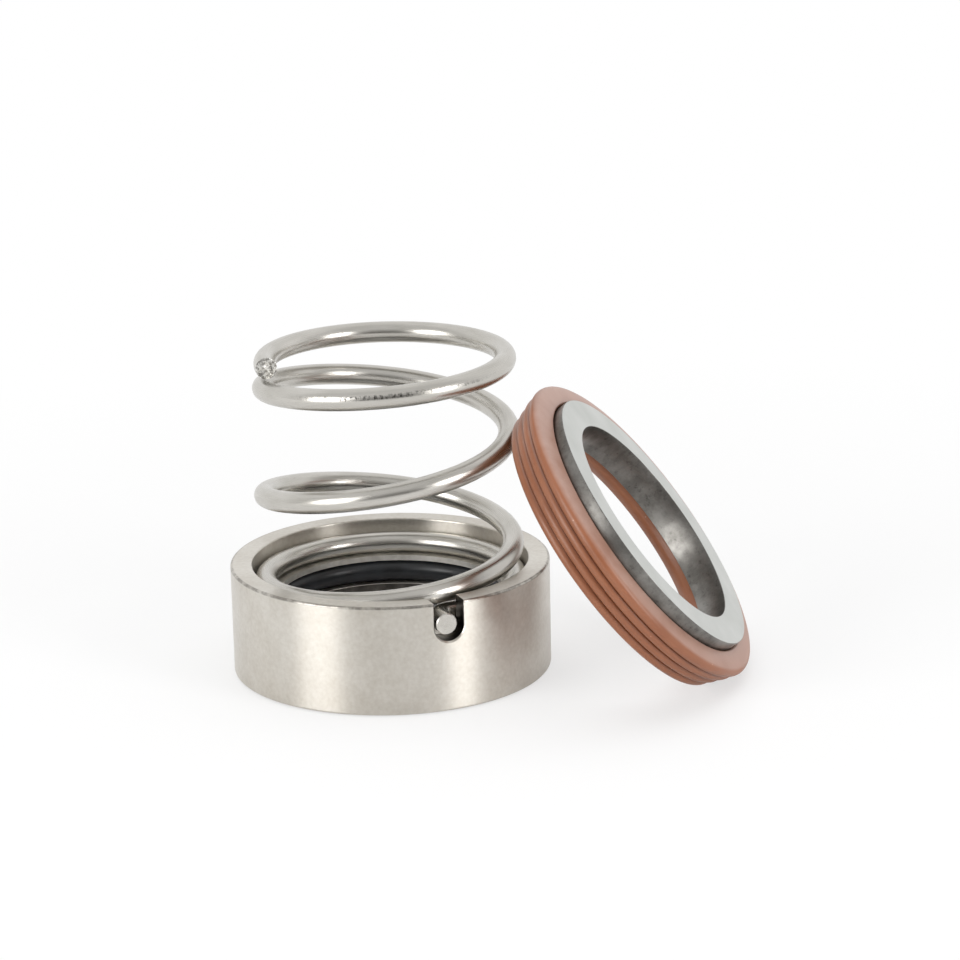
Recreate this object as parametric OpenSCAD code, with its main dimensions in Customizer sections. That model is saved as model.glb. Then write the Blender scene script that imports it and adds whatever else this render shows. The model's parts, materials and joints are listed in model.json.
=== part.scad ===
// Single-spring mechanical shaft seal with its stationary seat.
// The rotary unit stands on its sealing face, centred on the origin, with the shaft axis along +Z.
// The seat leans against the spring with its lower rim on the floor.

/* [Shaft] */
// Diameter of the shaft that the seal runs on
shaft_d = 32; // [24:0.5:45]
// Radial play of the retainer and the thrust washer on the shaft
shaft_play = 0.3; // [0.2:0.05:0.5]

/* [Shaft O-ring] */
// Thickness of the O-ring's round section
o_ring_w = 3.5; // [2.5:0.1:5]
// Gap between the O-ring and each surface round it, as drawn unsqueezed
o_ring_play = 0.05; // [0.02:0.01:0.1]

/* [Rotary face] */
// Thickness of the hard face ring in the retainer's underside
face_t = 4.6; // [3:0.1:7]
// Radial width of the face ring
face_w = 4.2; // [3:0.1:5]
// How far the face ring stands proud of the retainer
face_proud = 0.15; // [0.05:0.05:0.6]
// Chamfer on the face ring's outer running edge
face_chamfer = 0.1; // [0.05:0.05:0.3]
// Radial play of the face rings in their pockets
pocket_play = 0.02; // [0.01:0.01:0.05]

/* [Retainer] */
// Steel between the face pocket and the O-ring groove
web_t = 2.4; // [1:0.1:5]
// Width of the step that the thrust washer rests on
washer_step = 0.5; // [0.3:0.05:1]
// Depth of the spring recess above the thrust washer
recess_depth = 4.7; // [3.5:0.1:8]
// Wall outside the spring recess
recess_wall = 3.15; // [2:0.05:6]
// Chamfer round the top outer edge
top_chamfer = 0.35; // [0.1:0.05:0.8]
// Chamfer round the top of the recess
mouth_chamfer = 0.3; // [0.1:0.05:0.6]
// Radius round the bottom outer edge
bottom_round = 0.4; // [0.1:0.05:0.8]

/* [Drive slot] */
// Width of the slot, which has a round bottom
slot_w = 4.5; // [3.8:0.1:7]
// Depth of the slot below the retainer's top edge
slot_depth = 5.7; // [4:0.1:8]
// Direction of the slot round the shaft axis
slot_az = -68; // [-120:1:-20]

/* [Thrust washer] */
// Thickness of the washer between the spring and the O-ring
washer_t = 0.8; // [0.4:0.1:2]
// Radial play of the washer in the recess
washer_play = 0.15; // [0.05:0.05:0.3]

/* [Spring] */
// Diameter of the spring wire
wire_d = 3.1; // [2:0.1:3.5]
// Radial play between the lowest coil and the recess
spring_play = 0.15; // [0.05:0.05:0.4]
// How much nearer to the axis the top coil runs than the lowest one
coil_taper = 1.25; // [0:0.05:1.6]
// Height of the free spring above the thrust washer
spring_h = 36; // [26:0.5:50]
// Full turns of wire, apart from the part turn between the cut end and the tang
whole_turns = 3; // [3:1:6]
// Length of the flat end turn at each end, in turns
flat_turns = 0.46; // [0.3:0.02:0.5]
// Direction of the cut end at the top, round the shaft axis
spring_end_az = 194; // [120:1:260]
// Angle by which the tang lies off the middle of the slot
tang_lag = 1; // [0:0.1:1.5]
// Radius of the wire's centre line where it bends outward into the slot
tang_bend = 2.2; // [1.9:0.1:3]
// How far the tang stops short of the retainer's outer wall
tang_short = 0.1; // [0:0.05:1]

/* [Seat ring] */
// Radial play of the seat ring on the shaft
seat_play = 0.5; // [0.3:0.05:1]
// Radial width of the lapped face
seat_w = 4.6; // [3:0.1:7]
// Thickness of the seat ring
seat_t = 4.65; // [3:0.05:8]
// Chamfer on the seat ring's back edges
seat_chamfer = 0.4; // [0.1:0.05:0.8]

/* [Seat boot] */
// Thickness of the boot from its front to its back
boot_t = 6.6; // [6:0.05:12]
// How far the seat ring's face stands proud of the boot
seat_proud = 1.1; // [0.5:0.05:2]
// Rubber outside the seat ring at the front bead
bead_w = 3.7; // [3:0.05:6]
// Radius of the front bead's rounding
bead_round = 0.9; // [0.8:0.05:1.1]
// How far the boot's front slopes back from the seat ring to the bead
bead_slope = 0.4; // [0.1:0.05:0.5]
// Number of ribs behind the bead
ribs = 3; // [2:1:4]
// Radius of a rib's rounding
rib_round = 0.8; // [0.78:0.02:1]
// Distance from rib to rib
rib_pitch = 1.5; // [1:0.05:1.55]
// Step down from the bead to the nearest rib
rib_drop = 0.4; // [0:0.05:1.2]
// Step down from each rib to the next one behind it
rib_taper = 0.55; // [0:0.05:0.7]
// Radial play of the boot's bore on the shaft
boot_play = 1; // [0.7:0.05:2]
// Chamfer at the back of the boot's bore
boot_chamfer = 1.1; // [0.3:0.05:1.5]
// Width of the small groove between the boot's front and the seat ring
lip_groove = 0.35; // [0.1:0.05:0.8]
// Angle by which the soft boot sits askew on the seat ring
boot_cant = 2; // [0:0.25:3]

/* [Seat resting against the spring] */
// Angle of the seat's axis above the floor
seat_lean = 37.5; // [25:0.1:50]
// Direction in which the lapped face looks, round the shaft axis
seat_heading = -8.7; // [-40:0.1:40]
// How far the seat stands to one side of the line through the shaft axis
seat_offset = -0.7; // [-3:0.1:3]
// Gap left between the boot and the spring wire that it leans on
lean_gap = 0.35; // [0.1:0.05:0.4]

/* [Hidden] */

$fn = 96;
// Overshoot of a cutting body
over = 1;
// How far outlines that are joined run into each other
merge = 0.03;
// Sides of the swept spring wire and steps along one turn of it
wire_sides = 16;
turn_steps = 44;
bend_steps = 10;
// Steps in degrees, and how far to each side, for finding where the seat meets the spring
rim_step = 2;
coil_step = 2;
search_az = 60;
// Arc steps in the boot's outline
arc_fn = 48;

// Radii of the rotary unit, worked outward from the shaft
shaft_r = shaft_d / 2;
bore_r = shaft_r + shaft_play;
o_ring_r = shaft_r + o_ring_play + o_ring_w / 2;
groove_r = o_ring_r + o_ring_w / 2 + o_ring_play;
recess_r = groove_r + washer_step;
washer_r = recess_r - washer_play;
retainer_r = recess_r + recess_wall;
face_r = bore_r + face_w;

// Heights of the rotary unit, worked upward from the standing face
groove_h = o_ring_w + 2 * o_ring_play;
groove_z = face_t + web_t;
washer_z = groove_z + groove_h;
spring_z = washer_z + washer_t;
retainer_top = spring_z + recess_depth;
slot_floor = retainer_top - slot_depth;

// Spring centre line
wire_r = wire_d / 2;
coil_r = recess_r - spring_play - wire_r;
coil_z = spring_z + wire_r;
coil_rise = spring_h - wire_d;
tang_az = slot_az - tang_lag;
bend_angle = asin(tang_bend / (coil_r + tang_bend));
bend_az = tang_az + bend_angle;
coil_turns = whole_turns + (spring_end_az - bend_az) / 360;

// Seat sizes, with heights measured from the lapped face
seat_bore_r = shaft_r + seat_play;
seat_r = seat_bore_r + seat_w;
boot_bore_r = shaft_r + boot_play;
boot_back = -seat_proud - boot_t;
bead_r = seat_r + bead_w;
bead_z = -seat_proud - bead_slope - bead_round;
back_rib_z = boot_back + rib_round;

// Directions of the leaning seat and of the canted boot
seat_axis = [cos(seat_lean) * cos(seat_heading), cos(seat_lean) * sin(seat_heading), sin(seat_lean)];
seat_down = [sin(seat_lean) * cos(seat_heading), sin(seat_lean) * sin(seat_heading), -cos(seat_lean)];
seat_side = [-sin(seat_heading), cos(seat_heading), 0];
slide_way = [cos(seat_heading), sin(seat_heading), 0];
boot_axis = cos(boot_cant) * seat_axis - sin(boot_cant) * seat_side;
boot_side = cos(boot_cant) * seat_side + sin(boot_cant) * seat_axis;

// Each rim of the boot that can touch something: crest radius, height of its rounding's centre, rounding
rims = concat(
    [[bead_r, bead_z, bead_round]],
    [for (i = [0 : ribs - 1]) [rib_crest(i), back_rib_z + i * rib_pitch, rib_round]]
);

// Crest radius of a rib, counted from the back
function rib_crest(i) = bead_r - rib_drop - (ribs - 1 - i) * rib_taper;

// Smooth step from 0 to 1
function ease(t) = let (c = min(1, max(0, t))) c * c * (3 - 2 * c);

// Point of the coil's centre line, counted in turns down from the cut end
function coil_point(u) =
    let (
        az = spring_end_az - 360 * u,
        r = coil_r - coil_taper * (1 - u / coil_turns),
        drop = ease((u - flat_turns) / (coil_turns - 2 * flat_turns))
    )
    [r * cos(az), r * sin(az), coil_z + coil_rise * (1 - drop)];

// Point of the bend that leads the wire outward, from 0 at the coil to 1 at the tang
function bend_point(t) =
    let (a = bend_az + 180 + t * (90 - bend_angle))
    [
        (coil_r + tang_bend) * cos(bend_az) + tang_bend * cos(a),
        (coil_r + tang_bend) * sin(bend_az) + tang_bend * sin(a),
        coil_z
    ];

// Whole centre line of the wire
coil_count = ceil(coil_turns * turn_steps);
tang_r = retainer_r - tang_short;
wire_path = concat(
    [for (i = [0 : coil_count - 1]) coil_point(coil_turns * i / coil_count)],
    [for (i = [0 : bend_steps]) bend_point(i / bend_steps)],
    [[tang_r * cos(tang_az), tang_r * sin(tang_az), coil_z]]
);

function unit(v) = v / norm(v);

// Direction of a path at one of its points
function heading(path, i) = unit(path[min(i + 1, len(path) - 1)] - path[max(i - 1, 0)]);

// One ring of points round a path, square to it
function ring_at(path, i, r, sides) =
    let (
        along = heading(path, i),
        up = unit([0, 0, 1] - along[2] * along),
        across = cross(along, up)
    )
    [for (k = [0 : sides - 1]) path[i] + r * (cos(360 * k / sides) * up + sin(360 * k / sides) * across)];

// Height of the seat's face centre at which the boot's lowest rim meets the floor
seat_height = max([
    for (rim = rims)
        rim[2] + (rim[0] - rim[2]) * norm([boot_axis[0], boot_axis[1]])
        - (rim[1] + seat_proud) * boot_axis[2] + seat_proud * seat_axis[2]
]);

// Face centre before the seat is slid away from the shaft axis
seat_start = seat_offset * seat_side + [0, 0, seat_height];

// Stretches of coil on the seat's side, in turns down from the cut end
near_coil = [
    for (k = [-1 : whole_turns])
        for (az = [-search_az : coil_step : search_az])
            let (u = (spring_end_az - seat_heading - az) / 360 + k)
                if (u >= 0 && u <= coil_turns) coil_point(u)
];

// Centre line of a rim's rounding before the seat is slid
function rim_point(rim, a) =
    seat_start - seat_proud * seat_axis + (rim[1] + seat_proud) * boot_axis
    + (rim[0] - rim[2]) * (cos(a) * seat_down + sin(a) * boot_side);

// How far a point has to slide along slide_way until it is a given distance from another point
function slide_clear(from, other, distance) =
    let (
        w = from - other,
        b = w * slide_way,
        rest = b * b - w * w + distance * distance
    )
    rest < 0 ? 0 : sqrt(rest) - b;

// Slide that brings the boot to its gap from the spring, the largest over every pair of points
seat_slide = max([
    for (rim = rims)
        for (a = [90 : rim_step : 270])
            let (p = rim_point(rim, a))
                for (q = near_coil)
                    slide_clear(p, q, rim[2] + wire_r + lean_gap)
]);
seat_place = seat_start + seat_slide * slide_way;

// Puts a piece modelled round +Z, with its front face at zero, where the seat leans
module leaning() {
    translate(seat_place)
        rotate([0, 90 - seat_lean, seat_heading])
            children();
}

// Sweeps a round wire along a path as one closed solid
module swept_wire(path, r, sides) {
    count = len(path);
    points = [for (i = [0 : count - 1]) each ring_at(path, i, r, sides)];
    skin = [
        for (i = [0 : count - 2])
            for (k = [0 : sides - 1])
                let (n = (k + 1) % sides)
                    [i * sides + k, i * sides + n, (i + 1) * sides + n, (i + 1) * sides + k]
    ];
    start_cap = [for (k = [sides - 1 : -1 : 0]) k];
    end_cap = [for (k = [0 : sides - 1]) (count - 1) * sides + k];
    polyhedron(points, concat([start_cap], skin, [end_cap]));
}

// Half section of the retainer, turned round the shaft axis
module retainer_section() {
    polygon([
        [bore_r, face_t],
        [face_r + pocket_play, face_t],
        [face_r + pocket_play, face_proud],
        [retainer_r - bottom_round, face_proud],
        [retainer_r, face_proud + bottom_round],
        [retainer_r, retainer_top - top_chamfer],
        [retainer_r - top_chamfer, retainer_top],
        [recess_r + mouth_chamfer, retainer_top],
        [recess_r, retainer_top - mouth_chamfer],
        [recess_r, washer_z],
        [groove_r, washer_z],
        [groove_r, groove_z],
        [bore_r, groove_z]
    ]);
    translate([retainer_r - bottom_round, face_proud + bottom_round])
        circle(r = bottom_round, $fn = arc_fn);
}

// Milled slot with a round bottom, cut outward through the wall of the recess
module drive_slot() {
    inner = washer_r;
    length = retainer_r + over - inner;
    rotate([0, 0, slot_az])
        translate([inner, 0, slot_floor + slot_w / 2]) {
            rotate([0, 90, 0])
                cylinder(d = slot_w, h = length);
            translate([0, -slot_w / 2, 0])
                cube([length, slot_w, slot_depth + over]);
        }
}

// Turned stainless steel housing of the rotary unit
module retainer_ring() {
    color("#cdc8be")
        difference() {
            rotate_extrude()
                retainer_section();
            drive_slot();
        }
}

// Hard face ring shrunk into the retainer's underside
module rotary_face() {
    color("#5a5c5e")
        rotate_extrude()
            polygon([
                [bore_r, 0],
                [face_r - face_chamfer, 0],
                [face_r, face_chamfer],
                [face_r, face_t],
                [bore_r, face_t]
            ]);
}

// Rubber O-ring that seals on the shaft
module shaft_o_ring() {
    color("#232528")
        rotate_extrude()
            translate([o_ring_r, groove_z + groove_h / 2])
                circle(d = o_ring_w);
}

// Thin ring that carries the spring above the O-ring
module thrust_washer() {
    color("#c2c0b8")
        translate([0, 0, washer_z])
            rotate_extrude()
                translate([bore_r, 0])
                    square([washer_r - bore_r, washer_t]);
}

// Right-hand compression spring with a cut end above and a drive tang below
module drive_spring() {
    color("#c9c8c2")
        swept_wire(wire_path, wire_r, wire_sides);
}

// Stationary hard-metal ring with its lapped face at zero
module seat_ring() {
    color("#a8a9a6")
        leaning()
            rotate_extrude()
                polygon([
                    [seat_bore_r, 0],
                    [seat_r, 0],
                    [seat_r, -seat_t + seat_chamfer],
                    [seat_r - seat_chamfer, -seat_t],
                    [seat_bore_r, -seat_t]
                ]);
}

// Half section of the boot's outside, solid to the axis side of the seat ring's bore.
// Its front runs straight from the seat ring to where it just enters the bead's rounding.
module boot_section() {
    start = [seat_r, -seat_proud];
    bead = [bead_r - bead_round, bead_z];
    reach = start - bead;
    meet_angle = atan2(reach[1], reach[0]) - acos(bead_round / norm(reach));
    polygon([
        [seat_bore_r - seat_w / 2, boot_back],
        [rib_crest(0) - rib_round, boot_back],
        [rib_crest(0) - rib_round, back_rib_z],
        bead,
        bead + (bead_round - merge) * [cos(meet_angle), sin(meet_angle)],
        start,
        [seat_bore_r - seat_w / 2, -seat_proud]
    ]);
    for (rim = rims)
        translate([rim[0] - rim[2], rim[1]])
            circle(r = rim[2], $fn = arc_fn);
}

// Half section of everything that is cut out of the boot: the ring's pocket, its lip groove and the bore
module boot_hollow_section() {
    pocket_r = seat_r + pocket_play;
    polygon([
        [0, over],
        [pocket_r + lip_groove, over],
        [pocket_r + lip_groove, -seat_proud],
        [pocket_r, -seat_proud - lip_groove],
        [pocket_r, -seat_t],
        [boot_bore_r, -seat_t],
        [boot_bore_r, boot_back + boot_chamfer],
        [boot_bore_r + boot_chamfer, boot_back],
        [boot_bore_r + boot_chamfer, boot_back - over],
        [0, boot_back - over]
    ]);
}

// Ribbed rubber cup that holds the seat ring
module seat_boot() {
    color("#965f4b")
        leaning()
            difference() {
                translate([0, 0, -seat_proud])
                    rotate([boot_cant, 0, 0])
                        translate([0, 0, seat_proud])
                            rotate_extrude()
                                boot_section();
                rotate_extrude()
                    boot_hollow_section();
            }
}

retainer_ring();
rotary_face();
shaft_o_ring();
thrust_washer();
drive_spring();
seat_ring();
seat_boot();
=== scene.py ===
# %% [markdown]
# # A mechanical shaft seal
#
# A pump shaft leaves its housing through two hard rings that rub on each other. This lesson dresses one
# such seal: a steel ring with a coil spring standing in it, and a second ring in a brown rubber boot that
# leans against the spring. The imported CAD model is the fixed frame. Pieces whose shape is right stay and get
# a better finish, and the others are turned or swept again with soft edges in the same places.

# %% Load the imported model
import bmesh
import bpy
import json
from math import acos, asin, atan2, ceil, cos, pi, radians, sin, sqrt, tan
from mathutils import Matrix, Vector, noise


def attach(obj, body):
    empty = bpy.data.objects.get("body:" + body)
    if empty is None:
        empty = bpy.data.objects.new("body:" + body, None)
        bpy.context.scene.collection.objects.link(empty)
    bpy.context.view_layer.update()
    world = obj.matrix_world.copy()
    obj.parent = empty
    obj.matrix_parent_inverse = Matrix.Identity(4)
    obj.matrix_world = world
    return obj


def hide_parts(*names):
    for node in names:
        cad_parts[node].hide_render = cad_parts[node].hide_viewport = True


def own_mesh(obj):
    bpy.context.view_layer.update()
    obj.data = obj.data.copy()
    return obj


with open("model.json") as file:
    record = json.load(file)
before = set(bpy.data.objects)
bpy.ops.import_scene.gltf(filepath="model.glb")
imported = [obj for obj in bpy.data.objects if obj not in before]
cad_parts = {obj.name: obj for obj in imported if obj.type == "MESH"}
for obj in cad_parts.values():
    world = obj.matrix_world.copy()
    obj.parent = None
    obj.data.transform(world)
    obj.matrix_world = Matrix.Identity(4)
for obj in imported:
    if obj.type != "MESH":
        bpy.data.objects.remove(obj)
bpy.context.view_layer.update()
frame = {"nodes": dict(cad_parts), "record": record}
MM = 0.001
print("pieces in the frame:", sorted(frame["nodes"]))

# %% [markdown]
# ## Colours and nodes
#
# A colour picked from a screen is written as sRGB, but Cycles adds up light, so one function turns a hex
# value into linear light. Another adds a shader node with its settings and links. The part of it that fills
# sockets stands by itself, because a new material's own shader is filled in the same way.
#
# A socket goes by its name, or by its number where a node has the name twice. Map Range reads a value (0)
# and carries it from one range (1 and 2) to another (3 and 4). Mix reads a share (0) and two colours (6 and
# 7), and gives the mixed colour as output 2.

# %% Colour and node helpers
def linear(code):
    parts = [int(code[i:i + 2], 16) / 255 for i in (1, 3, 5)]
    return [p / 12.92 if p <= 0.04045 else ((p + 0.055) / 1.055) ** 2.4 for p in parts] + [1.0]


def feed(tree, node, inputs):
    for socket, value in inputs.items():
        if isinstance(value, bpy.types.NodeSocket):
            tree.links.new(value, node.inputs[socket])
        else:
            node.inputs[socket].default_value = value


def add(tree, kind, inputs=None, **settings):
    made = tree.nodes.new("ShaderNode" + kind)
    for name, value in settings.items():
        setattr(made, name, value)
    feed(tree, made, inputs or {})
    return made


print("mid grey #808080 in linear light:", [round(c, 3) for c in linear("#808080")])

# %% [markdown]
# ## Turned shapes
#
# All the pieces but the spring are round. They are turned on a lathe, stamped or moulded. Three of them get
# a new shape here, and it is made as a lathe makes it: an outline of corners in millimetres (radius, height,
# rounding) is spun round the axis, and then the ring of edges at each corner is bevelled by that corner's
# rounding.

# %% Lathe helpers
TURN_STEPS = 224
SAME_PLACE = 0.001 * MM
SHARP_FROM = 32


def spin_outline(mesh, corners, closed=True):
    verts = [mesh.verts.new((r * MM, 0, z * MM)) for r, z, _ in corners]
    pairs = list(zip(verts, verts[1:])) + ([(verts[-1], verts[0])] if closed else [])
    edges = [mesh.edges.new(pair) for pair in pairs]
    bmesh.ops.spin(mesh, geom=verts + edges, cent=(0, 0, 0), axis=(0, 0, 1), angle=2 * pi,
                   steps=TURN_STEPS, use_merge=True)
    return mesh


def edges_on_circle(mesh, r, z):
    def there(v):
        return abs(v.co.xy.length - r * MM) < SAME_PLACE and abs(v.co.z - z * MM) < SAME_PLACE
    return [e for e in mesh.edges if there(e.verts[0]) and there(e.verts[1])]


def round_corners(mesh, corners, segments=3):
    for r, z, rounding in corners:
        if rounding:
            bmesh.ops.bevel(mesh, geom=edges_on_circle(mesh, r, z), offset=rounding * MM, segments=segments,
                            profile=0.5, affect="EDGES", material=-1, clamp_overlap=True)


def as_piece(mesh, name, *materials, sharp=SHARP_FROM):
    bmesh.ops.recalc_face_normals(mesh, faces=mesh.faces)
    data = bpy.data.meshes.new(name)
    mesh.to_mesh(data)
    mesh.free()
    for material in materials:
        data.materials.append(material)
    data.shade_smooth()
    data.set_sharp_from_angle(angle=radians(sharp))
    piece = bpy.data.objects.new(name, data)
    bpy.context.scene.collection.objects.link(piece)
    print(name, len(data.polygons), "faces")
    return piece


print("a full turn has", TURN_STEPS, "steps")

# %% [markdown]
# ## Camera
#
# The photograph was taken with a long lens from about 45 cm away, looking down by 16 degrees and very
# slightly rolled. These numbers come from fitting the steel ring's ellipses and the spring's outline, so the
# camera needs no lens shift.

# %% Camera
CAMERA_DISTANCE = 450 * MM
CAMERA_AIM = Vector((13.33, 0, 27.58)) * MM
CAMERA_PITCH = radians(15.93)
CAMERA_ROLL = radians(-1.213)
FOCAL_PIXELS, FRAME_PIXELS, SENSOR_WIDTH = 3110, 960, 36

camera = bpy.data.objects.new("camera", bpy.data.cameras.new("camera"))
camera.data.sensor_width = SENSOR_WIDTH
camera.data.lens = SENSOR_WIDTH * FOCAL_PIXELS / FRAME_PIXELS
camera.data.clip_start, camera.data.clip_end = 0.01, 20
back = Vector((0, -cos(CAMERA_PITCH), sin(CAMERA_PITCH)))
camera.matrix_world = (Matrix.Translation(CAMERA_AIM + back * CAMERA_DISTANCE)
                       @ Matrix.Rotation(pi / 2 - CAMERA_PITCH, 4, "X")
                       @ Matrix.Rotation(CAMERA_ROLL, 4, "Z"))
bpy.context.scene.collection.objects.link(camera)
bpy.context.scene.camera = camera
print("camera at", [round(x, 4) for x in camera.matrix_world.translation])
print("one pixel covers", round(CAMERA_DISTANCE / FOCAL_PIXELS / MM, 3), "mm of the object")

# %% [markdown]
# ## White paper
#
# The photograph has a pure white ground. A real table gets darker away from its lamps, so here the paper
# turns into plain white light of strength 1 away from the object, for the camera and for mirror images.
# Close to the object part of what is seen is real paper, which keeps the soft shadow: four tenths of it for
# the camera, and eight tenths in the mirror images that the metal shows. Inside the steel ring it is all
# paper, so that no light shines up through the bore.

# %% Floor
scene = bpy.context.scene
scene.view_settings.view_transform = "Standard"

FLOOR_REACH, FLOOR_DROP = 3, 0.05 * MM
GLOW_MIDDLE, GLOW_STARTS, GLOW_FULL = (0.02, 0, 0), 50 * MM, 200 * MM
LEAST_IN_MIRROR, LEAST_IN_VIEW = 0.2, 0.6
RING_BORE = 20 * MM

floor_mesh = bmesh.new()
bmesh.ops.create_grid(floor_mesh, x_segments=1, y_segments=1, size=FLOOR_REACH)
bmesh.ops.translate(floor_mesh, verts=floor_mesh.verts, vec=(0, 0, -FLOOR_DROP))
paper = bpy.data.materials.new("white paper sweep")
paper.use_nodes = True
tree = paper.node_tree
tree.nodes.clear()
rays = add(tree, "LightPath").outputs
on_floor = add(tree, "TexCoord").outputs["Object"]
mirror = add(tree, "Math", {0: rays["Is Glossy Ray"], 1: rays["Is Transmission Ray"]}, operation="MAXIMUM")
seen = add(tree, "Math", {0: rays["Is Camera Ray"], 1: mirror.outputs[0]}, operation="MAXIMUM")
least = add(tree, "MapRange", {0: rays["Is Camera Ray"], 3: LEAST_IN_MIRROR, 4: LEAST_IN_VIEW})
distance = add(tree, "VectorMath", {0: on_floor, 1: GLOW_MIDDLE}, operation="DISTANCE")
glow = add(tree, "MapRange", {0: distance.outputs["Value"], 1: GLOW_STARTS, 2: GLOW_FULL,
                              3: least.outputs[0], 4: 1.0}, interpolation_type="SMOOTHSTEP")
from_axis = add(tree, "VectorMath", {0: on_floor}, operation="LENGTH")
past_bore = add(tree, "Math", {0: from_axis.outputs["Value"], 1: RING_BORE}, operation="GREATER_THAN")
lifted = add(tree, "Math", {0: glow.outputs[0], 1: past_bore.outputs[0]}, operation="MULTIPLY")
share = add(tree, "Math", {0: seen.outputs[0], 1: lifted.outputs[0]}, operation="MULTIPLY")
matte = add(tree, "BsdfDiffuse", {"Color": linear("#F0F0F0")})
white = add(tree, "Emission", {"Color": (1, 1, 1, 1), "Strength": 1.0})
soft = add(tree, "MixShader", {0: share.outputs[0], 1: matte.outputs[0], 2: white.outputs[0]})
add(tree, "OutputMaterial", {"Surface": soft.outputs[0]})
floor = as_piece(floor_mesh, "floor", paper)

# %% [markdown]
# ## The room
#
# Bright metal shows the room rather than itself. A white tent gives white metal, so in mirror images the
# room behind the camera is dark near eye level: that dark band draws the line along each turn of the spring.
# The camera itself sees plain white behind the object, and the same white, less than half as strong, fills
# the shadows.

# %% World
ROOM_FILL = 0.45
world = bpy.data.worlds.new("studio")
scene.world = world
world.use_nodes = True
tree = world.node_tree
tree.nodes.clear()
rays = add(tree, "LightPath").outputs
way = add(tree, "SeparateXYZ", {0: add(tree, "TexCoord").outputs["Generated"]})
high = add(tree, "MapRange", {0: way.outputs["Z"], 1: 0.1, 2: 0.8, 3: 0.0, 4: 0.75},
           interpolation_type="SMOOTHSTEP")
behind = add(tree, "MapRange", {0: way.outputs["Y"], 1: -0.75, 2: 0.35, 3: 0.0, 4: 1.0},
             interpolation_type="SMOOTHSTEP")
light_side = add(tree, "Math", {0: high.outputs[0], 1: behind.outputs[0]}, operation="MAXIMUM")
room = add(tree, "Mix", {0: light_side.outputs[0], 6: linear("#4E4B48"), 7: (1, 1, 1, 1)}, data_type="RGBA")
mirrored = add(tree, "Background", {"Color": room.outputs[2], "Strength": 1.0})
backdrop = add(tree, "Background", {"Color": (1, 1, 1, 1), "Strength": 1.0})
fill = add(tree, "Background", {"Color": (1, 1, 1, 1), "Strength": ROOM_FILL})
shiny = add(tree, "Math", {0: rays["Is Glossy Ray"], 1: rays["Is Transmission Ray"]}, operation="MAXIMUM")
lit = add(tree, "MixShader", {0: shiny.outputs[0], 1: fill.outputs[0], 2: mirrored.outputs[0]})
shown = add(tree, "MixShader", {0: rays["Is Camera Ray"], 1: lit.outputs[0], 2: backdrop.outputs[0]})
add(tree, "OutputWorld", {"Surface": shown.outputs[0]})
print("nodes in the room:", len(tree.nodes))

# %% [markdown]
# ## Softboxes
#
# Three large lamps light the object. The one above gives the soft shadow. It is left out of mirror images,
# because its image would burn out the top of each coil. The two at the sides are there for their images:
# they stand upright in the steel ring's wall as its two bright bands.

# %% Lamps
def softbox(name, place, aim, width, height, watts):
    lamp = bpy.data.objects.new(name, bpy.data.lights.new(name, "AREA"))
    lamp.data.shape = "RECTANGLE"
    lamp.data.size, lamp.data.size_y = width, height
    lamp.data.energy = watts
    lamp.location = place
    lamp.rotation_mode = "QUATERNION"
    lamp.rotation_quaternion = (Vector(aim) - Vector(place)).to_track_quat("-Z", "Y")
    scene.collection.objects.link(lamp)
    print(name, watts, "W at", place)
    return lamp


above = softbox("softbox above", place=(0.05, 0.10, 0.75), aim=(0.015, 0, 0.02),
                width=0.9, height=0.78, watts=3.4)
above.visible_glossy = False
softbox("softbox left", place=(-0.52, -0.43, 0.22), aim=(0, 0, 0.02), width=0.38, height=0.40, watts=2.8)
softbox("softbox right", place=(0.583, -0.461, 0.22), aim=(0, 0, 0.02), width=0.25, height=0.40, watts=2.6)

# %% [markdown]
# ## Turned stainless steel
#
# The big ring is stainless steel turned on a lathe and lightly blasted, which gives a warm satin grey with
# fine marks that run round it. A flat grey would look like plastic, so the marks are drawn from each point's
# radius and height, which makes rings on the wall and on the rim alike. Real tool marks lie about 0.1 mm
# apart, less than a pixel, and are drawn 0.22 mm apart so that they show. Cloudy patches of handling change
# the gloss a little. The rim's rounded edge gets a painted dark band of shade, broken by tiny dark nicks from
# life in a box of parts.

# %% Satin stainless steel
TOOL_MARK, CLOUD, MOTTLE, NICK = 0.22 * MM, 9 * MM, 0.6 * MM, 1.3 * MM
RIM_EDGE = (23.2 * MM, 16.05 * MM, 0)
EDGE_BAND_DEPTH, EDGE_BAND_FADE = 0.2 * MM, 0.38 * MM


def new_finish(name):
    made = bpy.data.materials.new(name)
    made.use_nodes = True
    return made, made.node_tree, made.node_tree.nodes["Principled BSDF"]


def lathe_coordinates(tree, point):
    parts = add(tree, "SeparateXYZ", {0: point})
    flat = add(tree, "CombineXYZ", {0: parts.outputs["X"], 1: parts.outputs["Y"]})
    radius = add(tree, "VectorMath", {0: flat.outputs[0]}, operation="LENGTH")
    return add(tree, "CombineXYZ", {0: radius.outputs["Value"], 1: parts.outputs["Z"]}).outputs[0]


satin_steel, tree, shader = new_finish("turned stainless steel, satin")
point = add(tree, "TexCoord").outputs["Object"]
ringwise = lathe_coordinates(tree, point)
marks = add(tree, "TexNoise", {"Vector": ringwise, "Scale": 1 / TOOL_MARK, "Detail": 3.0, "Roughness": 0.6})
clouds = add(tree, "TexNoise", {"Vector": point, "Scale": 1 / CLOUD, "Detail": 8.0, "Roughness": 0.62})
mottle = add(tree, "TexNoise", {"Vector": point, "Scale": 1 / MOTTLE, "Detail": 3.0})
mixed = add(tree, "Math", {0: mottle.outputs[0], 1: 0.7, 2: clouds.outputs[0]}, operation="MULTIPLY_ADD")
tone = add(tree, "MapRange", {0: mixed.outputs[0], 1: 0.6, 2: 1.1, 3: 0.0, 4: 1.0})
steel = add(tree, "Mix", {0: tone.outputs[0], 6: linear("#C7C1B7"), 7: linear("#D8D4CC")}, data_type="RGBA")
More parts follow.
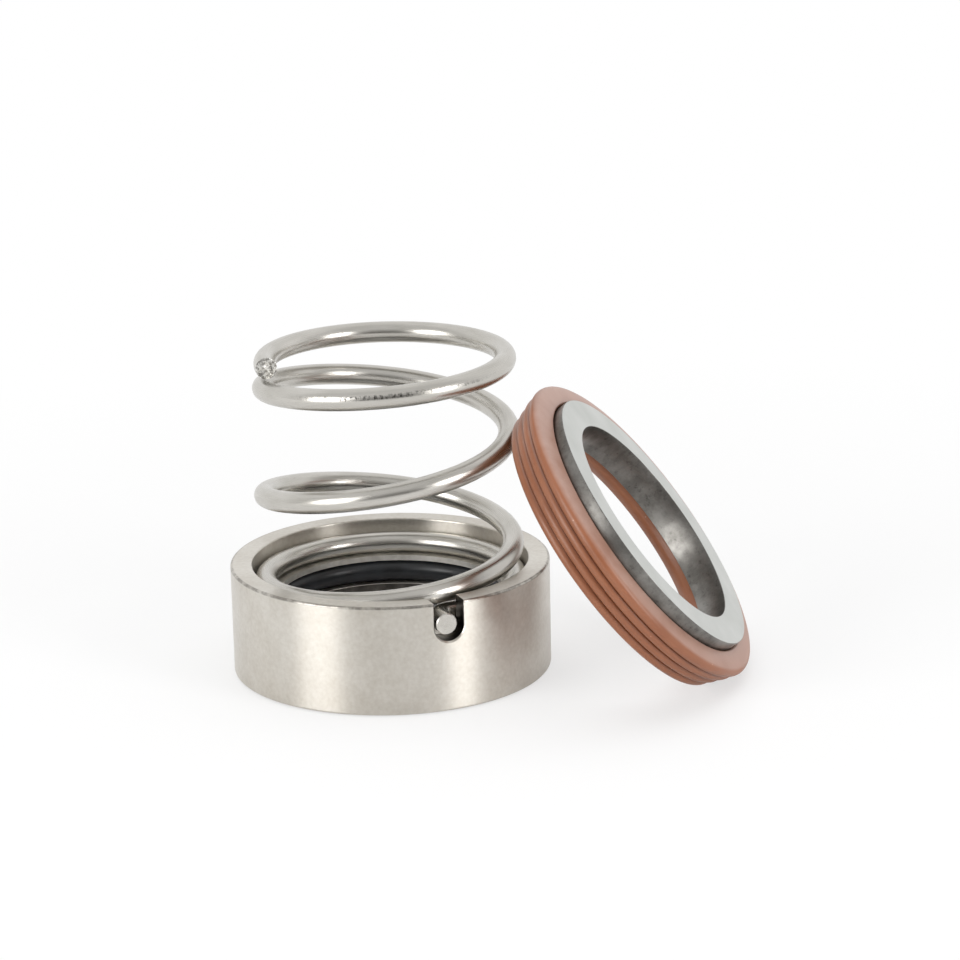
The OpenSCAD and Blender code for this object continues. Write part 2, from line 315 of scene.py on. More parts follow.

# Dark nicks over a painted band of shade, where a point lies close to the rim's outer edge
from_edge = add(tree, "VectorMath", {0: ringwise, 1: RIM_EDGE}, operation="DISTANCE")
nicks = add(tree, "TexNoise", {"Vector": point, "Scale": 1 / NICK, "Detail": 4.0, "Roughness": 0.7})
nicks_and_edge_shade = add(tree, "MapRange", {0: nicks.outputs[0], 1: 0.40, 2: 0.60, 3: 0.2, 4: 0.7})
edge_shade_share = add(tree, "MapRange", {0: from_edge.outputs["Value"], 1: EDGE_BAND_DEPTH, 2: EDGE_BAND_FADE,
                                 3: nicks_and_edge_shade.outputs[0], 4: 0.0})
# Painted shade: the rim's rounded edge is mixed towards dark grey, with nicks in it
steel_with_edge_shade = add(tree, "Mix", {0: edge_shade_share.outputs[0], 6: steel.outputs[2], 7: linear("#6E6963")}, data_type="RGBA")

# The gloss is drawn out along the tool marks, which run square to the axis and to the surface
gloss = add(tree, "MapRange", {0: clouds.outputs[0], 1: 0.3, 2: 0.7, 3: 0.38, 4: 0.31})
around = add(tree, "VectorMath", {0: (0, 0, 1), 1: point}, operation="CROSS_PRODUCT")
normal = add(tree, "NewGeometry").outputs["Normal"]
across = add(tree, "VectorMath", {0: normal, 1: around.outputs[0]}, operation="CROSS_PRODUCT")
bump = add(tree, "Bump", {"Strength": 0.05, "Distance": 0.01 * MM, "Height": marks.outputs[0]})
feed(tree, shader, {"Metallic": 1.0, "Base Color": steel_with_edge_shade.outputs[2], "Roughness": gloss.outputs[0],
                    "Anisotropic": 0.8, "Tangent": across.outputs[0], "Normal": bump.outputs[0]})
print(satin_steel.name, "has", len(tree.nodes), "nodes")

# %% [markdown]
# ## Machined steel with painted shade
#
# The slot and the bore were cut last and never blasted, so the same steel is smoother there. It is also
# painted darker there: this is painted shade inside the two recesses, and it is what makes the slot stand out.

# %% Machined steel with painted recess shade
SHADE_MOTTLE = 2 * MM
shaded_recess_steel, tree, shader = new_finish("machined stainless steel, painted recess shade")
point = add(tree, "TexCoord").outputs["Object"]
shade_mottle = add(tree, "TexNoise", {"Vector": point, "Scale": 1 / SHADE_MOTTLE, "Detail": 4.0})
tone = add(tree, "MapRange", {0: shade_mottle.outputs[0], 1: 0.35, 2: 0.65, 3: 0.0, 4: 1.0})
# Painted shade: dark greys that stand in for the shade in the slot and the bore
recess_shade = add(tree, "Mix", {0: tone.outputs[0], 6: linear("#504D49"), 7: linear("#706C66")}, data_type="RGBA")
feed(tree, shader, {"Metallic": 1.0, "Base Color": recess_shade.outputs[2], "Roughness": 0.3})
print(shaded_recess_steel.name, "has", len(tree.nodes), "nodes")

# %% [markdown]
# ## Retainer ring: the turned blank
#
# This is the housing that holds everything on the shaft: a pocket below for the hard face, a groove for the
# O-ring, a recess above for the spring, and a milled slot that takes the spring's bent end. Its outline has
# the same corners as the CAD solid, and most of them get the small rounding of a deburred edge.

# %% Turned blank
BORE_R, FACE_POCKET_R, FACE_T, RING_FOOT = 16.3, 20.52, 4.6, 0.15
GROOVE_R, GROOVE_Z, WASHER_Z = 19.6, 7.0, 10.6
RECESS_R, RING_R, RING_TOP = 20.1, 23.25, 16.1
ring_outline = [
    (BORE_R, FACE_T, 0), (FACE_POCKET_R, FACE_T, 0), (FACE_POCKET_R, RING_FOOT, 0.05),
    (RING_R, RING_FOOT, 0.35), (RING_R, RING_TOP, 0.32), (RECESS_R, RING_TOP, 0.28),
    (RECESS_R, WASHER_Z, 0), (GROOVE_R, WASHER_Z, 0.1), (GROOVE_R, GROOVE_Z, 0), (BORE_R, GROOVE_Z, 0.15),
]
ring = spin_outline(bmesh.new(), ring_outline)
round_corners(ring, ring_outline)
blank = as_piece(ring, "blank")

# %% [markdown]
# ## Retainer ring: the drive slot
#
# A milled slot is exactly a cutter's path taken away, so a boolean cuts it. The cutter is a bar with a round
# underside, whose upper half is drawn up past the rim. It flares where it leaves the wall, which breaks that
# edge with the thin bright chamfer of the real one.

# %% Milled slot
SLOT_AZ, SLOT_W, SLOT_FLOOR = radians(-68.0), 4.5, 10.4
SLOT_IN, SLOT_OUT = 19.95, 22.98
FLARE, FLARE_LENGTH, CUTTER_RISE = 0.45, 0.5, 6
ALLOWANCE, MERGED = 0.01, 0.002
slot_mid = SLOT_FLOOR + SLOT_W / 2
lie_down = (Matrix.Translation(((SLOT_IN + SLOT_OUT) / 2 * MM, 0, slot_mid * MM))
            @ Matrix.Rotation(pi / 2, 4, "Y"))
cutter = bmesh.new()
bmesh.ops.create_cone(cutter, cap_ends=True, segments=48, radius1=SLOT_W / 2 * MM, radius2=SLOT_W / 2 * MM,
                      depth=(SLOT_OUT - SLOT_IN) * MM, matrix=lie_down)
mouth = [f for f in cutter.faces if all(v.co.x > (SLOT_OUT - ALLOWANCE) * MM for v in f.verts)]
made = bmesh.ops.extrude_face_region(cutter, geom=mouth)["geom"]
flared = [g for g in made if isinstance(g, bmesh.types.BMVert)]
bmesh.ops.delete(cutter, geom=mouth, context="FACES_ONLY")
for v in flared:
    v.co += Vector((0, v.co.y, v.co.z - slot_mid * MM)).normalized() * FLARE * MM
bmesh.ops.translate(cutter, verts=flared, vec=(FLARE_LENGTH * MM, 0, 0))
upper = [v for v in cutter.verts if v.co.z > (slot_mid + ALLOWANCE) * MM]
bmesh.ops.translate(cutter, verts=upper, vec=(0, 0, CUTTER_RISE * MM))
bmesh.ops.rotate(cutter, verts=cutter.verts, cent=(0, 0, 0), matrix=Matrix.Rotation(SLOT_AZ, 3, "Z"))
tool = as_piece(cutter, "slot_tool")

cut = blank.modifiers.new("slot", "BOOLEAN")
cut.operation, cut.object, cut.solver = "DIFFERENCE", tool, "EXACT"
milled = bmesh.new()
milled.from_object(blank, bpy.context.evaluated_depsgraph_get())
for spare in (blank, tool):
    bpy.data.objects.remove(spare)
bmesh.ops.remove_doubles(milled, verts=milled.verts, dist=MERGED * MM)
print("the slot is", SLOT_W, "mm wide and", round(RING_TOP - SLOT_FLOOR, 2), "mm deep")

# %% [markdown]
# ## Retainer ring: satin steel and painted shade
#
# The walls of the slot and of the bore get the darker finish, which is painted shade. A face belongs to the
# slot if each of its corners lies inside the cutter's round-bottomed section. A box would be a simpler test,
# but it would also catch slivers of the outer wall beside the slot's round floor.

# %% Retainer ring
WALL_FROM, BORE_ALLOWANCE = 19, 0.05
slot_way = Vector((cos(SLOT_AZ), sin(SLOT_AZ), 0))
aside = Vector((-slot_way.y, slot_way.x, 0))


def in_slot(v):
    off_middle = Vector((v.co @ aside, min(0, v.co.z - slot_mid * MM)))
    return (v.co @ slot_way > WALL_FROM * MM and off_middle.length < (SLOT_W / 2 + ALLOWANCE) * MM
            and v.co.z > (SLOT_FLOOR - ALLOWANCE) * MM)


def in_bore(v):
    return v.co.xy.length < (BORE_R + BORE_ALLOWANCE) * MM


# Faces in the slot and the bore get the second material, the painted shade
for f in milled.faces:
    if all(in_slot(v) for v in f.verts) or all(in_bore(v) for v in f.verts):
        f.material_index = 1
retainer = as_piece(milled, "retainer", satin_steel, shaded_recess_steel)
retainer.modifiers.new("even shading", "WEIGHTED_NORMAL").keep_sharp = True
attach(retainer, "seal")
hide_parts("retainer_ring")
print("painted-shade faces in the slot and the bore:", sum(p.material_index for p in retainer.data.polygons))

# %% [markdown]
# ## Drawn spring wire
#
# Spring wire is pulled through a die, so it is brighter than the turned ring and its marks run along the
# wire. The coil was then wound over a mandrel, whose tools left short dark scuffs in one line, 82 mm from the
# cut end. Object coordinates can't follow a coil, so the sweep below stores on each point where it would lie
# if the wire were pulled straight, and the patterns are drawn on that straight wire. Die marks are finer than
# a pixel, and are drawn 0.16 mm apart so that they show.

# %% Bright spring steel
GRIP_AT, GRIP_LINE = 82 * MM, 0.5 * MM
WIRE_MARKS = [  # length along the wire and width in millimetres, then the noise's detail and roughness
    (14, 0.16, 3.0, 0.6),  # streaks of the die
    (6, 1.6, 4.0, 0.5),  # clouds of a lighter and a darker grey
    (0.3, 0.6, 3.0, 0.7),  # scuffs
    (17, 2.2, 1.0, 0.5),  # patches in which scuffs lie
]

spring_steel, tree, shader = new_finish("drawn stainless spring wire")
straight = add(tree, "Attribute", attribute_name="straight_wire").outputs["Vector"]
wire_noises = []
for length, width, detail, roughness in WIRE_MARKS:
    per_metre = (1 / (length * MM), 1 / (width * MM), 1 / (width * MM))
    stretched = add(tree, "Mapping", {"Vector": straight, "Scale": per_metre})
    wire_noises.append(add(tree, "TexNoise", {"Vector": stretched.outputs[0], "Scale": 1.0, "Detail": detail,
                                              "Roughness": roughness}).outputs[0])
streaks, clouds, scuffs, patches = wire_noises

# Scuffs show near the grip along the wire, in patches, and close to one line on its side
place = add(tree, "SeparateXYZ", {0: straight})
off_grip = add(tree, "Math", {0: place.outputs["X"], 1: GRIP_AT}, operation="SUBTRACT")
from_grip = add(tree, "Math", {0: off_grip.outputs[0]}, operation="ABSOLUTE")
grip = add(tree, "MapRange", {0: from_grip.outputs[0], 1: 9 * MM, 2: 17 * MM, 3: 1.0, 4: 0.0})
where = add(tree, "MapRange", {0: patches, 1: 0.42, 2: 0.52, 3: 0.0, 4: grip.outputs[0]})
marked = add(tree, "MapRange", {0: scuffs, 1: 0.50, 2: 0.60, 3: 0.0, 4: 1.0})
off_line = add(tree, "Math", {0: place.outputs["Y"], 1: GRIP_LINE}, operation="SUBTRACT")
from_line = add(tree, "Math", {0: off_line.outputs[0]}, operation="ABSOLUTE")
on_line = add(tree, "MapRange", {0: from_line.outputs[0], 1: 0.15 * MM, 2: 0.40 * MM,
                                 3: marked.outputs[0], 4: 0.0})
worn = add(tree, "Math", {0: where.outputs[0], 1: on_line.outputs[0]}, operation="MULTIPLY")

tone = add(tree, "MapRange", {0: clouds, 1: 0.3, 2: 0.7, 3: 0.0, 4: 1.0})
clean = add(tree, "Mix", {0: tone.outputs[0], 6: linear("#BBB8B1"), 7: linear("#CBC8C2")}, data_type="RGBA")
scuffed = add(tree, "Mix", {0: worn.outputs[0], 6: clean.outputs[2], 7: linear("#5E5B57")}, data_type="RGBA")
gloss = add(tree, "MapRange", {0: streaks, 1: 0.25, 2: 0.75, 3: 0.25, 4: 0.32})
relief = add(tree, "Math", {0: worn.outputs[0], 1: -1.5, 2: streaks}, operation="MULTIPLY_ADD")
bump = add(tree, "Bump", {"Strength": 0.02, "Distance": 0.02 * MM, "Height": relief.outputs[0]})
feed(tree, shader, {"Metallic": 1.0, "Base Color": scuffed.outputs[2], "Roughness": gloss.outputs[0],
                    "Normal": bump.outputs[0]})
print(spring_steel.name, "has", len(tree.nodes), "nodes")

# %% [markdown]
# ## Sheared wire end
#
# The upper end was cut with shears, which tear the steel after they have bitten into it. The torn face
# sparkles: bright crystals lie beside dark ones, so its grain is coarse and sharply marked.

# %% Torn steel
GRAIN = 0.45 * MM
sheared_steel, tree, shader = new_finish("sheared wire end")
point = add(tree, "TexCoord").outputs["Object"]
grain = add(tree, "TexNoise", {"Vector": point, "Scale": 1 / GRAIN, "Detail": 4.0, "Roughness": 0.7})
crystal = add(tree, "MapRange", {0: grain.outputs[0], 1: 0.42, 2: 0.58, 3: 0.0, 4: 1.0})
torn = add(tree, "Mix", {0: crystal.outputs[0], 6: linear("#8F8C87"), 7: linear("#E9E8E4")}, data_type="RGBA")
bump = add(tree, "Bump", {"Strength": 0.5, "Distance": 0.12 * MM, "Height": grain.outputs[0]})
feed(tree, shader, {"Metallic": 1.0, "Base Color": torn.outputs[2], "Roughness": 0.34,
                    "Normal": bump.outputs[0]})
print(sheared_steel.name, "has", len(tree.nodes), "nodes")

# %% [markdown]
# ## Where the spring's wire runs
#
# The wire starts at a cut end above, lies flat for about half a turn, winds down in not quite three turns,
# and lies flat again on its washer. Its coils widen downwards, so the small end grips the shaft. At the
# bottom it bends outward into the slot. The same rule made the CAD solid, so the swept wire lies on it.

# %% Centre line of the wire
WIRE_R, COIL_R, COIL_TAPER = 1.55, 18.4, 1.25
SPRING_Z, SPRING_H, FLAT = 11.4, 36.0, 0.46
END_AZ, TANG_AZ, BEND_R, TANG_R = 194.0, -69.0, 2.2, 23.15
TURN_PARTS, BEND_PARTS, TANG_PARTS = 64, 12, 4
TIP_CHAMFER = 0.12
bend_turn = asin(BEND_R / (COIL_R + BEND_R))
bend_az = radians(TANG_AZ) + bend_turn
TURNS = 3 + (END_AZ - TANG_AZ - bend_turn * 180 / pi) / 360
low_z = SPRING_Z + WIRE_R


def coil_point(u):
    t = min(1, max(0, (u - FLAT) / (TURNS - 2 * FLAT)))
    drop = t * t * (3 - 2 * t)
    r = COIL_R - COIL_TAPER * (1 - u / TURNS)
    az = radians(END_AZ) - 2 * pi * u
    return Vector((r * cos(az), r * sin(az), low_z + (SPRING_H - 2 * WIRE_R) * (1 - drop)))


def bend_point(t):
    a = bend_az + pi + t * (pi / 2 - bend_turn)
    middle = COIL_R + BEND_R
    return Vector((middle * cos(bend_az) + BEND_R * cos(a), middle * sin(bend_az) + BEND_R * sin(a), low_z))


steps = ceil(TURNS * TURN_PARTS)
wire = [coil_point(TURNS * i / steps) for i in range(steps)]
wire += [bend_point(i / BEND_PARTS) for i in range(BEND_PARTS + 1)]
tang_way = Vector((cos(radians(TANG_AZ)), sin(radians(TANG_AZ)), 0))
tang_length = TANG_R - TIP_CHAMFER - wire[-1] @ tang_way
wire += [wire[-1] + tang_way * tang_length * k / TANG_PARTS for k in range(1, TANG_PARTS + 1)]
wire = [p * MM for p in wire]
wire_length = sum((b - a).length for a, b in zip(wire, wire[1:]))
print("turns of wire:", round(TURNS, 3), "length of wire in mm:", round(wire_length / MM, 1))

# %% [markdown]
# ## Drive spring: the wire
#
# A curve with a bevel would also give a wire, but it has no ends to work on. Here one circle of points is
# extruded along the line step by step, and each new circle is turned square to it.

# %% Swept wire
WIRE_SIDES = 32


def square_to(points, i):
    along = (points[min(i + 1, len(points) - 1)] - points[max(i - 1, 0)]).normalized()
    up = (Vector((0, 0, 1)) - along * along.z).normalized()
    return Matrix.Translation(points[i]) @ Matrix((up, along.cross(up), along)).transposed().to_4x4()


def extrude_rim(mesh, rim):
    made = bmesh.ops.extrude_edge_only(mesh, edges=rim)["geom"]
    new = [g for g in made if isinstance(g, bmesh.types.BMVert)]
    fresh = set(new)
    edges = [g for g in made if isinstance(g, bmesh.types.BMEdge)]
    return new, [e for e in edges if e.verts[0] in fresh and e.verts[1] in fresh]


coil = bmesh.new()
straight_wire = coil.verts.layers.float_vector.new("straight_wire")
bmesh.ops.create_circle(coil, segments=WIRE_SIDES, radius=WIRE_R * MM)
for v in coil.verts:
    v[straight_wire] = (0, v.co.x, v.co.y)
bmesh.ops.transform(coil, matrix=square_to(wire, 0), verts=coil.verts)
first_rim = list(coil.edges)
rim = first_rim
travelled = 0.0
for i in range(1, len(wire)):
    travelled += (wire[i] - wire[i - 1]).length
    new, rim = extrude_rim(coil, rim)
    bmesh.ops.transform(coil, matrix=square_to(wire, i) @ square_to(wire, i - 1).inverted(), verts=new)
    for v in new:
        v[straight_wire] = (travelled, v[straight_wire].y, v[straight_wire].z)
print("circles along the wire:", len(wire))

# %% [markdown]
# ## Drive spring: its two ends
#
# The tang was cut clean. It gets a small chamfer, and its face is a little dished. The sheared end gets a
# thin rolled edge, and inside it torn facets: a fan of triangles is subdivided and pushed in and out by a
# noise that is fixed in space, so each run gives the same facets.

# %% Tang and torn end
TIP_SCALE, TIP_EDGE, DISH = 0.92, 0.12, 0.12
ROLLED_EDGE, ROLLED_HEIGHT = 0.10, 0.03
TEAR_SIZE, TEAR_HEIGHT = 0.75, 0.16
ON_CUT, CUT_MARGIN, CUT_DEPTH, CUT_REACH = 0.1, 0.15, 0.3, 1.02

new, rim = extrude_rim(coil, rim)
end = square_to(wire, len(wire) - 1)
narrowed = Matrix.Translation((0, 0, TIP_CHAMFER * MM)) @ Matrix.Scale(TIP_SCALE, 4)
bmesh.ops.transform(coil, matrix=end @ narrowed @ end.inverted(), verts=new)
tip = bmesh.ops.edgeloop_fill(coil, edges=rim)["faces"]
bmesh.ops.inset_region(coil, faces=tip, thickness=TIP_EDGE * MM)
tip[0].normal_update()
bmesh.ops.poke(coil, faces=tip, offset=-DISH * MM if tip[0].normal @ tang_way > 0 else DISH * MM)

face = bmesh.ops.edgeloop_fill(coil, edges=first_rim)["faces"]
bmesh.ops.inset_region(coil, faces=face, thickness=ROLLED_EDGE * MM, depth=ROLLED_HEIGHT * MM)
hub = bmesh.ops.poke(coil, faces=face)["verts"][0]
bmesh.ops.subdivide_edges(coil, edges=list(hub.link_edges), cuts=3, use_grid_fill=True)
centre = square_to(wire, 0).translation
outward = (wire[0] - wire[1]).normalized()
for v in coil.verts:
    off = v.co - centre
    reach = (off - outward * (off @ outward)).length
    if abs(off @ outward) < ON_CUT * MM and reach < (WIRE_R - CUT_MARGIN) * MM:
        v.co += outward * (TEAR_HEIGHT * noise.noise(v.co / (TEAR_SIZE * MM))) * MM


def in_torn_end(v):
    off = v.co - centre
    return abs(off @ outward) < CUT_DEPTH * MM and off.length < WIRE_R * CUT_REACH * MM


torn_faces = [f for f in coil.faces if all(in_torn_end(v) for v in f.verts)]
for f in torn_faces:
    f.material_index = 1
print("facets in the torn end:", len(torn_faces))

# %% [markdown]
# ## Drive spring: the piece and its body
#
# The spring's body moves down by up to 6 mm, and a real spring gets shorter instead of sliding. Here the swept
# wire becomes a piece with its two finishes, hangs from that body, and gets a mesh of its own.

# %% Drive spring
spring = as_piece(coil, "spring_wire", spring_steel, sheared_steel, sharp=40)
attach(spring, "spring")
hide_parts("drive_spring")
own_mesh(spring)

# %% [markdown]
# ## Where the seat leans
#
# The second ring sits in its rubber boot and leans against the spring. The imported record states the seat's
# bore as a mount with a place and an axis, so the script reads both there instead of repeating them. From
# those two it builds a matrix that carries a piece turned round the Z axis to where it leans. The seat's
# finishes read Object coordinates through the same matrix, so their rings run round the seat's own axis.

# %% Seat frame
bore = next(m for m in frame["record"]["mounts"] if m["name"] == "seat_bore")
seat_z = Vector(bore["axis"]).normalized()
seat_y = Vector((0, 0, 1)).cross(seat_z).normalized()
seat_x = seat_y.cross(seat_z)
SEAT = Matrix.Translation(bore["pos_m"]) @ Matrix((seat_x, seat_y, seat_z)).transposed().to_4x4()
print("seat at", [round(x, 5) for x in SEAT.translation], "axis", [round(x, 4) for x in seat_z])


def seat_coordinates(tree):
    point = add(tree, "TexCoord").outputs["Object"]
    return add(tree, "Mapping", {"Vector": point, "Location": SEAT.translation, "Rotation": SEAT.to_euler()},
               vector_type="TEXTURE").outputs[0]


# %% [markdown]
# ## Lapped hard metal
#
# The seat is sintered hard metal. Its face is lapped on a flat plate with fine paste, which leaves an even
# pale grey without any direction. The paste's grit is far too fine to show, and is drawn 0.18 mm wide as a
# faint roughness.

# %% Lapped face
HAZE, PASTE = 7 * MM, 0.18 * MM
lapped, tree, shader = new_finish("hard metal, lapped")
here = seat_coordinates(tree)
haze = add(tree, "TexNoise", {"Vector": here, "Scale": 1 / HAZE, "Detail": 4.0})
tone = add(tree, "MapRange", {0: haze.outputs[0], 1: 0.3, 2: 0.7, 3: 0.0, 4: 1.0})
pale = add(tree, "Mix", {0: tone.outputs[0], 6: linear("#C6C8C4"), 7: linear("#D0D1CE")}, data_type="RGBA")
gloss = add(tree, "MapRange", {0: haze.outputs[0], 1: 0.3, 2: 0.7, 3: 0.46, 4: 0.40})
paste = add(tree, "TexNoise", {"Vector": here, "Scale": 1 / PASTE, "Detail": 2.0})
bump = add(tree, "Bump", {"Strength": 0.04, "Distance": 0.01 * MM, "Height": paste.outputs[0]})
feed(tree, shader, {"Metallic": 1.0, "Base Color": pale.outputs[2], "Roughness": gloss.outputs[0],
                    "Normal": bump.outputs[0]})
print(lapped.name, "has", len(tree.nodes), "nodes")

# %% [markdown]
# ## Ground hard metal
#
# The seat's walls are only ground, so they are darker, show fine rings and keep blotchy grey stains from the
# furnace and from handling. Small dark specks gather where a stain is. Two finishes of one metal make two
# materials. Grinding marks are finer than a pixel, and are drawn 0.2 mm apart.

# %% Ground wall
GRIND_MARK, BLOT, SPECK = 0.2 * MM, 4.5 * MM, 0.9 * MM
ground, tree, shader = new_finish("hard metal, ground")
here = seat_coordinates(tree)
ringwise = lathe_coordinates(tree, here)
rings = add(tree, "TexNoise", {"Vector": ringwise, "Scale": 1 / GRIND_MARK, "Detail": 3.0})
blots = add(tree, "TexNoise", {"Vector": here, "Scale": 1 / BLOT, "Detail": 6.0, "Roughness": 0.68})
specks = add(tree, "TexNoise", {"Vector": here, "Scale": 1 / SPECK, "Detail": 3.0, "Roughness": 0.7})
stain = add(tree, "MapRange", {0: blots.outputs[0], 1: 0.40, 2: 0.62, 3: 0.0, 4: 1.0})
speck = add(tree, "MapRange", {0: specks.outputs[0], 1: 0.56, 2: 0.70, 3: 0.0, 4: stain.outputs[0]})
wall = add(tree, "Mix", {0: stain.outputs[0], 6: linear("#8B8985"), 7: linear("#6D6B67")}, data_type="RGBA")
specked = add(tree, "Mix", {0: speck.outputs[0], 6: wall.outputs[2], 7: linear("#575552")}, data_type="RGBA")
gloss = add(tree, "MapRange", {0: blots.outputs[0], 1: 0.35, 2: 0.65, 3: 0.30, 4: 0.38})
bump = add(tree, "Bump", {"Strength": 0.06, "Distance": 0.01 * MM, "Height": rings.outputs[0]})
feed(tree, shader, {"Metallic": 1.0, "Base Color": specked.outputs[2], "Roughness": gloss.outputs[0],
                    "Normal": bump.outputs[0]})
print(ground.name, "has", len(tree.nodes), "nodes")

# %% [markdown]
# ## Seat ring
#
# The seat is a plain ring, so its outline has four corners, with a larger chamfer at the back where it is
# pushed into its boot. It is spun upright, with its lapped face at height 0, and then carried to its place.

# %% Seat ring
SEAT_BORE_R, SEAT_R, SEAT_T = 16.5, 21.1, 4.65
seat_outline = [
    (SEAT_BORE_R, 0, 0.10), (SEAT_R, 0, 0.12), (SEAT_R, -SEAT_T, 0.4), (SEAT_BORE_R, -SEAT_T, 0.05),
]
seat = spin_outline(bmesh.new(), seat_outline)
round_corners(seat, seat_outline)
for f in seat.faces:
    f.material_index = 0 if f.calc_center_median().z > -ALLOWANCE * MM else 1
bmesh.ops.transform(seat, matrix=SEAT, verts=seat.verts)
seat_piece = as_piece(seat, "seat", lapped, ground)
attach(seat_piece, "seal")
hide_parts("seat_ring")

# %% [markdown]
# ## Brown rubber
#
# The boot is a fluorocarbon rubber filled with iron oxide, which makes it this warm brown. Moulded rubber is
# satin, with a very fine pebble from the mould, drawn 0.22 mm wide. A pale bloom lies on everything that faces
# up and away from the spring: partly dust where the boot was handled, partly a painted sheen on the side where
# the light falls. A few pale dots are dust. The grooves between the ribs get painted shade, darker and redder.

# %% Moulded brown rubber
BLOOM, PEBBLE, DOT_SPACING = 5 * MM, 0.22 * MM, 2.6 * MM
SHEEN_WAY = (0.5, 0, 0.87)
rubber, tree, shader = new_finish("fluorocarbon rubber, moulded")
here = seat_coordinates(tree)
bloom = add(tree, "TexNoise", {"Vector": here, "Scale": 1 / BLOOM, "Detail": 5.0, "Roughness": 0.6})
pebble = add(tree, "TexNoise", {"Vector": here, "Scale": 1 / PEBBLE, "Detail": 2.0})
dots = add(tree, "TexVoronoi", {"Vector": here, "Scale": 1 / DOT_SPACING})
normal = add(tree, "NewGeometry").outputs["Normal"]
facing = add(tree, "VectorMath", {0: normal, 1: SHEEN_WAY}, operation="DOT_PRODUCT")
lit_side_share = add(tree, "MapRange", {0: facing.outputs["Value"], 1: 0.5, 2: 1.0, 3: 0.0, 4: 0.85})
cloudy = add(tree, "MapRange", {0: bloom.outputs[0], 1: 0.35, 2: 0.65, 3: 0.55, 4: 1.0})
dust_and_sheen = add(tree, "Math", {0: lit_side_share.outputs[0], 1: cloudy.outputs[0]}, operation="MULTIPLY")
deep = add(tree, "Mix", {0: cloudy.outputs[0], 6: linear("#7E482C"), 7: linear("#925C3F")}, data_type="RGBA")
# Painted sheen, with dust: surfaces that face up and towards +X, where the light falls, turn pale
rubber_with_dust_and_sheen = add(tree, "Mix", {0: dust_and_sheen.outputs[0], 6: deep.outputs[2], 7: linear("#B1958A")}, data_type="RGBA")
# Painted shade: the grooves between the ribs are darker and redder
groove_shade_attribute = add(tree, "Attribute", attribute_name="groove")
shade = add(tree, "Math", {0: groove_shade_attribute.outputs["Fac"], 1: 0.55}, operation="MULTIPLY")
shaded = add(tree, "Mix", {0: shade.outputs[0], 6: rubber_with_dust_and_sheen.outputs[2], 7: linear("#4A2212")}, data_type="RGBA")
dot = add(tree, "MapRange", {0: dots.outputs["Distance"], 1: 0.035, 2: 0.05, 3: 0.5, 4: 0.0})
dotted = add(tree, "Mix", {0: dot.outputs[0], 6: shaded.outputs[2], 7: linear("#CFA893")}, data_type="RGBA")
gloss = add(tree, "MapRange", {0: bloom.outputs[0], 1: 0.35, 2: 0.65, 3: 0.30, 4: 0.42})
bump = add(tree, "Bump", {"Strength": 0.12, "Distance": 0.03 * MM, "Height": pebble.outputs[0]})
feed(tree, shader, {"Base Color": dotted.outputs[2], "Roughness": gloss.outputs[0], "IOR": 1.5,
                    "Normal": bump.outputs[0]})
print(rubber.name, "has", len(tree.nodes), "nodes")

# %% [markdown]
# ## Seat boot: its outline
#
# The boot is a cup with three ribs and a bead at its mouth, whose front slopes back from the metal. Every
# rounding is a circle of its own, and where two of them cross, the outline turns into the next one. That
# crossing is the sharp groove which the mould leaves between two ribs.

# %% Outline of the boot
PROUD, BOOT_T = 1.1, 6.6
BEAD_R, BEAD_ROUND, BEAD_SLOPE = 24.8, 0.9, 0.4
RIBS, RIB_ROUND, RIB_PITCH, RIB_DROP, RIB_TAPER = 3, 0.8, 1.5, 0.4, 0.55
BOOT_BORE_R, BOOT_CHAMFER, LIP, POCKET_PLAY = 17.0, 1.1, 0.35, 0.02
BACK = -PROUD - BOOT_T
POCKET_R = SEAT_R + POCKET_PLAY


def arc(centre, radius, start, stop, count=10):
    turns = [start + (stop - start) * i / count for i in range(count + 1)]
    return [(centre.x + radius * cos(a), centre.y + radius * sin(a), 0) for a in turns]


def crossing(a, radius_a, b, radius_b):
    gap = b - a
    way = gap.normalized()
    along = (gap.length_squared + radius_a ** 2 - radius_b ** 2) / (2 * gap.length)
    return a + way * along + Vector((way.y, -way.x)) * sqrt(radius_a ** 2 - along ** 2)


def angle_to(centre, point):
    return atan2(point.y - centre.y, point.x - centre.x)


rounds = []
for k in range(RIBS):
    rib_r = BEAD_R - RIB_DROP - (RIBS - 1 - k) * RIB_TAPER - RIB_ROUND
    rounds.append((Vector((rib_r, BACK + RIB_ROUND + k * RIB_PITCH)), RIB_ROUND))
bead = Vector((BEAD_R - BEAD_ROUND, -PROUD - BEAD_SLOPE - BEAD_ROUND))
rounds.append((bead, BEAD_ROUND))
front = Vector((SEAT_R, -PROUD))
turn_off = angle_to(bead, front) - acos(BEAD_ROUND / (front - bead).length)

outside = [(BOOT_BORE_R, BACK + BOOT_CHAMFER, 0.15), (BOOT_BORE_R + BOOT_CHAMFER, BACK, 0.15)]
start = -pi / 2
grooves = []
for (centre, radius), (following, next_radius) in zip(rounds, rounds[1:]):
    grooves.append(crossing(centre, radius, following, next_radius))
    outside += arc(centre, radius, start, angle_to(centre, grooves[-1]))[:-1]
    start = angle_to(following, grooves[-1])
outside += arc(bead, BEAD_ROUND, start, turn_off)
lip_z = -PROUD - LIP * tan(pi / 2 - turn_off)
outside += [(POCKET_R + LIP, lip_z, 0.1), (POCKET_R, lip_z - LIP, 0)]
inside = [(POCKET_R, -SEAT_T / 2 - LIP, 0), (POCKET_R, -SEAT_T, 0), (BOOT_BORE_R, -SEAT_T, 0),
          (BOOT_BORE_R, BACK + 2 * BOOT_CHAMFER, 0)]
print("corners in the boot's outlines:", len(outside) + len(inside))
